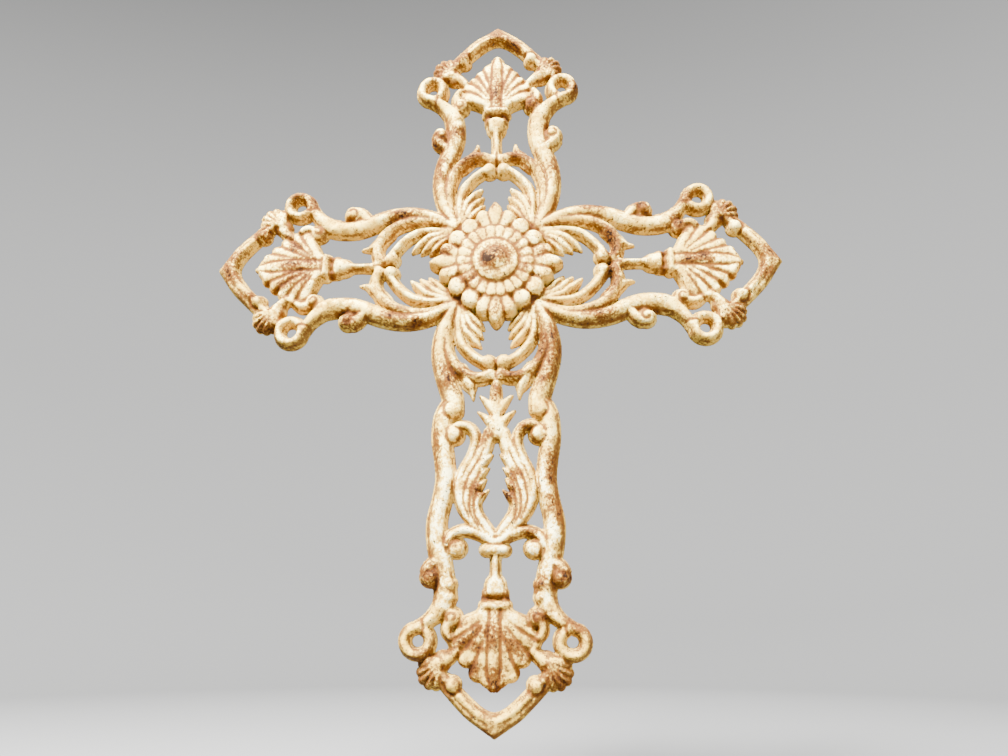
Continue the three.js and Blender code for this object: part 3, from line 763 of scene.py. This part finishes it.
spotEdge = {
    "seed": 5,
    "shake": [[2, 0.55], [14, 0.75]],  # passes of blur and size of the fine and the slow noise
    "stain": 1.6,  # sharpness of a spot
    "halo": 0.8,  # sharpness of the halo
    "haloGrowth": 1,  # how much larger its radii are
    "reach": [3, 4],  # a spot is worked out to this many long radii, plus this much
}


def spotField():
    # stain: the strongest of the spots, each its strength over one plus the fourth power of the share
    # of a turned ellipse, the place shaken by seeded noise; halo: the same over a wider ellipse
    draw = np.random.default_rng(spotEdge["seed"])
    shaken = []
    for plan in (planX, planZ):
        place = plan
        for passes, size in spotEdge["shake"]:
            noise = blurred(draw.normal(size=plan.size), passes)
            place = place + size * noise / noise.std()
        shaken.append(place)
    stain, halo = np.zeros((2, planX.size))
    times, more = spotEdge["reach"]
    for spotX, spotZ, long, short, degrees, strength in rustSpots:
        near = np.flatnonzero(np.hypot(planX - spotX, planZ - spotZ) < times * long + more)
        x, z = shaken[0][near] - spotX, shaken[1][near] - spotZ
        c, s = math.cos(math.radians(degrees)), math.sin(math.radians(degrees))
        along, across = x * c + z * s, z * c - x * s
        for field, grow, sharp in ((stain, 0, "stain"), (halo, spotEdge["haloGrowth"], "halo")):
            square = (along / (long + grow)) ** 2 + (across / (short + grow)) ** 2
            field[near] = np.maximum(field[near], strength / (1 + spotEdge[sharp] * square**2))
    return stain, halo


def castMesh():
    # front: every grid triangle inside the outline, those across it cut where the cover crosses zero;
    # then a wall from the cut edge to the back and a flat back
    ids = np.arange(planX.size).reshape(len(rows), len(columns))
    a, b, c, d = (part.ravel() for part in (ids[:-1, :-1], ids[:-1, 1:], ids[1:, 1:], ids[1:, :-1]))
    flip = ((a % len(columns)) + (a // len(columns))) % 2 == 0
    first = np.stack([a, b, np.where(flip, c, d)], 1)
    second = np.stack([np.where(flip, a, b), c, d], 1)
    triangles = np.vstack([first, second])
    within = coverMap[triangles] > 0
    count = within.sum(1)

    def turned(chosen, pivot):
        order = (pivot[:, None] + np.arange(3)) % 3
        return np.take_along_axis(chosen, order, 1)

    one = turned(triangles[count == 1], np.argmax(within[count == 1], 1))
    two = turned(triangles[count == 2], np.argmin(within[count == 2], 1))
    cuts = np.vstack([one[:, [0, 1]], one[:, [0, 2]], two[:, [1, 0]], two[:, [2, 0]]])
    keys, slots = np.unique(cuts[:, 0] * planX.size + cuts[:, 1], return_inverse=True)
    innerNode, outerNode = keys // planX.size, keys % planX.size
    share = coverMap[innerNode] / (coverMap[innerNode] - coverMap[outerNode])
    share = np.clip(share, *castGrid["edgeCut"])
    used = np.unique(np.concatenate([triangles[count == 3].ravel(), one[:, 0], two[:, 1:].ravel()]))
    newId = np.full(planX.size, -1)
    newId[used] = np.arange(used.size)
    edgeX = planX[innerNode] + share * (planX[outerNode] - planX[innerNode])
    edgeZ = planZ[innerNode] + share * (planZ[outerNode] - planZ[innerNode])
    slots = slots.ravel() + used.size
    n1, n2 = len(one), len(two)
    oneA, oneB, twoB, twoC = np.split(slots, [n1, 2 * n1, 2 * n1 + n2])
    front = [newId[triangles[count == 3]], np.stack([newId[one[:, 0]], oneA, oneB], 1),
             np.stack([twoB, newId[two[:, 1]], newId[two[:, 2]]], 1),
             np.stack([twoB, newId[two[:, 2]], twoC], 1)]
    rim = np.vstack([np.stack([oneA, oneB], 1), np.stack([twoC, twoB], 1)])
    below = rim + keys.size
    walls = [np.stack([rim[:, 1], rim[:, 0], below[:, 0]], 1),
             np.stack([rim[:, 1], below[:, 0], below[:, 1]], 1)]
    flange = np.full(keys.size, castGrid["flange"])
    x = np.concatenate([planX[used], edgeX, edgeX])
    z = np.concatenate([planZ[used], edgeZ, edgeZ])
    y = -np.concatenate([heightMap[used], flange, 0 * flange])
    inset = castGrid["inset"]
    points = np.clip(np.stack([x, y, z], 1), lowCorner + inset, highCorner - [inset, 0, inset]) * mm
    faces = np.vstack(front + walls)
    stain, halo = (field[used] for field in spotField())
    worn = {
        "crevice": np.concatenate([crevice[used], 0 * flange + wear["rimCrevice"], 0 * flange]),
        # wall: turned to a dull brown in the finish, partly rust and partly painted shade
        "wall": np.concatenate([wall[used], 0 * flange + 1, 0 * flange + 1]),
        "stain": np.concatenate([stain, 0 * flange, 0 * flange]),
        "halo": np.concatenate([halo, 0 * flange, 0 * flange]),
        "tint": np.concatenate([tintMap[used], 0 * flange, 0 * flange]),
        "back": np.concatenate([0 * stain, 0 * flange, 0 * flange + 1]),
    }
    return points, faces, below, worn


def coverAt(x, z):
    # cover between grid points: the four corners weighed by the shares of the cell
    grid = coverMap.reshape(len(rows), len(columns))
    across, up = (x - columns[0]) / castGrid["step"], (z - rows[0]) / castGrid["step"]
    i, j = up.astype(int), across.astype(int)
    s, t = across - j, up - i
    low = grid[i, j] * (1 - s) + grid[i, j + 1] * s
    high = grid[i + 1, j] * (1 - s) + grid[i + 1, j + 1] * s
    return low * (1 - t) + high * t


def backFaces(points, below):
    # back: a flat triangulation of the walls' lower edges, kept where the cover is positive
    corners = np.unique(below)
    place = np.full(len(points), -1)
    place[corners] = np.arange(corners.size)
    flat = points[corners][:, [0, 2]] / mm
    found = delaunay_2d_cdt(flat.tolist(), place[below].tolist(), [], 0, 1e-6, False)
    faces = np.array(found[2])
    middle = flat[faces].mean(1)
    return corners[faces[coverAt(middle[:, 0], middle[:, 1]) > 0]]


def buildCasting():
    points, faces, below, worn = castMesh()
    faces = np.vstack([faces, backFaces(points, below)])
    mesh = bpy.data.meshes.new("painted_casting")
    mesh.from_pydata(points, [], faces)
    for name, values in worn.items():
        mesh.attributes.new(name, "FLOAT", "POINT").data.foreach_set("value", values.astype(np.float32))
    mesh.update()
    work = bmesh.new()
    work.from_mesh(mesh)
    bmesh.ops.recalc_face_normals(work, faces=work.faces)
    work.to_mesh(mesh)
    work.free()
    mesh.shade_smooth()
    mesh.set_sharp_from_angle(angle=math.radians(castGrid["sharpDegrees"]))
    casting = bpy.data.objects.new("painted_casting", mesh)
    bpy.context.scene.collection.objects.link(casting)
    print("casting:", len(mesh.vertices), "points,", len(mesh.polygons), "faces")
    return casting


# finish: chipped pale paint over iron, rust in the hollows and worn spots, rust and painted shade down the
# walls
paintFinish = {
    "cream": (0.66, 0.455, 0.09, 1),
    "white": (0.98, 0.82, 0.275, 1),
    "cool": (0.82, 0.75, 0.38, 1),
    # dull brown of the walls and steep slopes, partly rust and partly painted shade
    "wallBrownAndShade": (0.28, 0.18, 0.052, 1),
    "honey": (0.5, 0.305, 0.042, 1),
    "tan": (0.155, 0.076, 0.015, 1),
    "ochre": (0.1, 0.036, 0.005, 1),
    "rust": (0.043, 0.0142, 0.0036, 1),
    "dark": (0.0135, 0.006, 0.0029, 1),
    "pit": (0.03, 0.02, 0.011, 1),
    "gloss": 0.05,  # mirror reflection of the chalky paint
    "roughness": [0.7, 0.9],  # of paint and of rust
    "bump": [0.4, 0.0006],  # strength and height in metres
    "attributes": ["crevice", "wall", "stain", "halo", "tint", "back"],
    "noise": {  # size in millimetres, detail and roughness
        "broad": [22, 3, 0.5],
        "mottle": [7, 6, 0.62],
        "speck": [1.5, 4, 0.6],
        "fleck": [1.4, 2, 0.5],
    },
    "sums": {  # what adds up to the dirt, the stain, the darkest rust and the bump
        # dirt: walls, slopes, patches and grains, read by the dull brown that is partly rust and partly
        # painted shade
        "dirt": {"wall": 1.0, "patches": 0.45, "grains": 0.2},
        "film": {"crevice": 1.05, "wall": 0.12, "tint": 0.45, "halo": 0.55, "speckled": 0.95, "low": 0.1,
                 "patches": 0.48, "grains": 0.32},
        "deep": {"stain": 1.0, "tint": 0.15, "patches": 0.3, "grains": 0.5},
        "skin": {"speck": 0.6, "mottle": 0.5, "fleck": -0.3},
    },
    "ramps": {  # where each field starts and is full, by what it is read from
        "cool": ["height", -0.08, -0.13],
        "low": ["height", -0.182, -0.206],
        "patches": ["mottle", 0.34, 0.66],
        "grains": ["speck", 0.34, 0.66],
        "white": ["broad", 0.36, 0.6],
        "wallBrownAndShade": ["dirt", 0.55, 1.3],
        "honey": ["film", 0.27, 0.62],
        "tan": ["film", 0.58, 0.94],
        "ochre": ["film", 0.9, 1.34],
        "rust": ["film", 1.42, 2.02],
        "dark": ["deep", 1.2, 1.45],
        "pit": ["fleck", 0.63, 0.69],
        "bare": ["mottle", 0.4, 0.62],
        "behind": ["back", 0.55, 0.95],
    },
}


def addNode(tree, kind, inputs=None, **settings):
    made = tree.nodes.new(kind)
    for name, value in settings.items():
        setattr(made, name, value)
    for name, value in (inputs or {}).items():
        if isinstance(value, bpy.types.NodeSocket):
            tree.links.new(value, made.inputs[name])
        else:
            made.inputs[name].default_value = value
    return made


def noiseOf(tree, where, size, detail, roughness):
    settings = {"Vector": where, "Scale": 1 / (size * mm), "Detail": detail, "Roughness": roughness}
    return addNode(tree, "ShaderNodeTexNoise", settings).outputs["Fac"]


def weighed(tree, field, weights):
    # weighed sum: each field times its weight, added up
    total = 0.0
    for name, weight in weights.items():
        terms = {0: field[name], 1: weight, 2: total}
        total = addNode(tree, "ShaderNodeMath", terms, operation="MULTIPLY_ADD").outputs[0]
    return total


def ramped(tree, value, low, high):
    settings = {"Value": value, "From Min": low, "From Max": high}
    made = addNode(tree, "ShaderNodeMapRange", settings, interpolation_type="SMOOTHSTEP")
    return made.outputs["Result"]


def blended(tree, factor, first, second):
    made = addNode(tree, "ShaderNodeMix", {"Factor": factor, 6: first, 7: second}, data_type="RGBA")
    return made.outputs[2]


def wornFields(tree):
    # fields: the mesh's attributes, noises and height, then the sums and ramps worked out from them
    where = addNode(tree, "ShaderNodeTexCoord").outputs["Object"]
    field = {}
    for name in paintFinish["attributes"]:
        field[name] = addNode(tree, "ShaderNodeAttribute", attribute_name=name).outputs["Fac"]
    for name, (size, detail, roughness) in paintFinish["noise"].items():
        field[name] = noiseOf(tree, where, size, detail, roughness)
    field["height"] = addNode(tree, "ShaderNodeSeparateXYZ", {"Vector": where}).outputs["Z"]

    def addRamps(names):
        for name in names:
            source, low, high = paintFinish["ramps"][name]
            field[name] = ramped(tree, field[source], low, high)

    first = ["cool", "low", "patches", "grains"]
    addRamps(first)
    product = {0: field["halo"], 1: field["grains"]}
    field["speckled"] = addNode(tree, "ShaderNodeMath", product, operation="MULTIPLY").outputs[0]
    for name, weights in paintFinish["sums"].items():
        field[name] = weighed(tree, field, weights)
    addRamps(name for name in paintFinish["ramps"] if name not in first)
    return field


def paintedIron():
    finish = bpy.data.materials.new("painted_iron")
    finish.use_nodes = True
    tree = finish.node_tree
    shader = tree.nodes["Principled BSDF"]
    field = wornFields(tree)

    def coat(under, name, over):
        return blended(tree, field[name], under, paintFinish[over])

    # cream to white in broad patches, cooler on the foot, cream again at its end
    colour = coat(paintFinish["cream"], "white", "white")
    colour = coat(colour, "cool", "cool")
    colour = coat(colour, "low", "cream")
    # dull brown down the walls, partly rust and partly painted shade, a honey film, then tan, ochre, rust
    # and dark iron as the worn places add up, and small pits
    for name in ("wallBrownAndShade", "honey", "tan", "ochre", "rust", "dark", "pit"):
        colour = coat(colour, name, name)
    bare = coat(paintFinish["rust"], "bare", "dark")
    colour = blended(tree, field["behind"], colour, bare)
    tree.links.new(colour, shader.inputs["Base Color"])
    smooth, rough = paintFinish["roughness"]
    settings = {"Value": field["rust"], "To Min": smooth, "To Max": rough}
    roughness = addNode(tree, "ShaderNodeMapRange", settings).outputs["Result"]
    tree.links.new(roughness, shader.inputs["Roughness"])
    shader.inputs["Specular IOR Level"].default_value = paintFinish["gloss"]
    strength, distance = paintFinish["bump"]
    settings = {"Strength": strength, "Distance": distance, "Height": field["skin"]}
    bump = addNode(tree, "ShaderNodeBump", settings)
    tree.links.new(bump.outputs["Normal"], shader.inputs["Normal"])
    print("finish mixed:", finish.name)
    return finish


casting = buildCasting()
casting.data.materials.append(paintedIron())
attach(casting, "root")
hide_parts("cast_cross")

# studio: a pale round floor that bends up into a wall on all sides, soft lights and the camera
studio = {
    "floorDrop": 0.05,  # floor below the foot's point
    "radius": 1.8,  # of the wall
    "bend": 0.7,
    "wallTop": 3.0,
    "steps": 96,  # round the floor
    "bendSteps": 24,
    "pale": (0.2, 0.2, 0.197, 1),
    "roughness": 0.9,
}


def addStudio():
    # floor and wall: a profile of floor, quarter circle and wall turned once about the upright axis
    floor = cadBox[0].z - studio["floorDrop"]
    angle = np.linspace(0, math.pi / 2, studio["bendSteps"])
    bend, wall, steps = studio["bend"], studio["radius"], studio["steps"]
    r = np.concatenate([[bend / 2], wall - bend + bend * np.sin(angle), [wall]])
    z = np.concatenate([[floor], floor + bend - bend * np.cos(angle), [studio["wallTop"]]])
    turn = np.linspace(0, 2 * math.pi, steps, endpoint=False)[:, None]
    points = np.stack([r * np.cos(turn), r * np.sin(turn), z + 0 * turn], -1).reshape(-1, 3)
    here = np.arange(steps)[:, None] * r.size + np.arange(r.size - 1)
    beside = np.roll(here, -1, 0)
    faces = np.stack([here, here + 1, beside + 1, beside], -1).reshape(-1, 4).tolist()
    faces.append((np.arange(steps) * r.size).tolist())
    mesh = bpy.data.meshes.new("studio_floor")
    mesh.from_pydata(points, [], faces)
    mesh.shade_smooth()
    room = bpy.data.objects.new("studio_floor", mesh)
    room.visible_diffuse = False  # the room is only seen: it neither shades nor tints the cross
    room.visible_shadow = False
    bpy.context.scene.collection.objects.link(room)
    paper = bpy.data.materials.new("studio_paper")
    paper.use_nodes = True
    shader = paper.node_tree.nodes["Principled BSDF"]
    shader.inputs["Base Color"].default_value = studio["pale"]
    shader.inputs["Roughness"].default_value = studio["roughness"]
    mesh.materials.append(paper)


# lights as place, size in metres and watts
lights = {
    "key": [(-0.35, -0.7, 0.8), 0.5, 235],
    "fill": [(0.8, -1.0, -0.3), 1.2, 36],
    "top": [(0.2, -0.2, 1.2), 0.8, 29],
    "back": [(0.2, 0.9, 0.6), 1.0, 11],
}
skyStrength = 0.7


def addLights():
    middle = (cadBox[0] + cadBox[1]) / 2
    for name, (place, size, watts) in lights.items():
        lamp = bpy.data.lights.new(name, "AREA")
        lamp.energy = watts
        lamp.size = size
        shown = bpy.data.objects.new(name, lamp)
        shown.location = place
        shown.rotation_euler = (middle - Vector(place)).to_track_quat("-Z", "Y").to_euler()
        bpy.context.scene.collection.objects.link(shown)
    world = bpy.context.scene.world or bpy.data.worlds.new("studio")
    bpy.context.scene.world = world
    world.use_nodes = True
    sky = world.node_tree.nodes["Background"]
    sky.inputs["Color"].default_value = (1, 1, 1, 1)
    sky.inputs["Strength"].default_value = skyStrength


viewpoint = {
    "place": (0.02527, -0.45009, -0.19821),
    "aim": (0.00457, -0.005, -0.06846),
    "roll": 0.0014,
    "lens": 29.9,  # millimetres, on a sensor of this width
    "sensor": 36,
    "clipStart": 0.01,
}


def addCamera():
    lens = bpy.data.cameras.new("photo_view")
    lens.lens = viewpoint["lens"]
    lens.sensor_width = viewpoint["sensor"]
    lens.clip_start = viewpoint["clipStart"]
    camera = bpy.data.objects.new("photo_view", lens)
    camera.location = viewpoint["place"]
    look = (Vector(viewpoint["aim"]) - camera.location).to_track_quat("-Z", "Y")
    camera.rotation_euler = (look @ Quaternion((0, 0, 1), viewpoint["roll"])).to_euler()
    bpy.context.scene.collection.objects.link(camera)
    bpy.context.scene.camera = camera


addStudio()
addLights()
addCamera()
print("studio set")
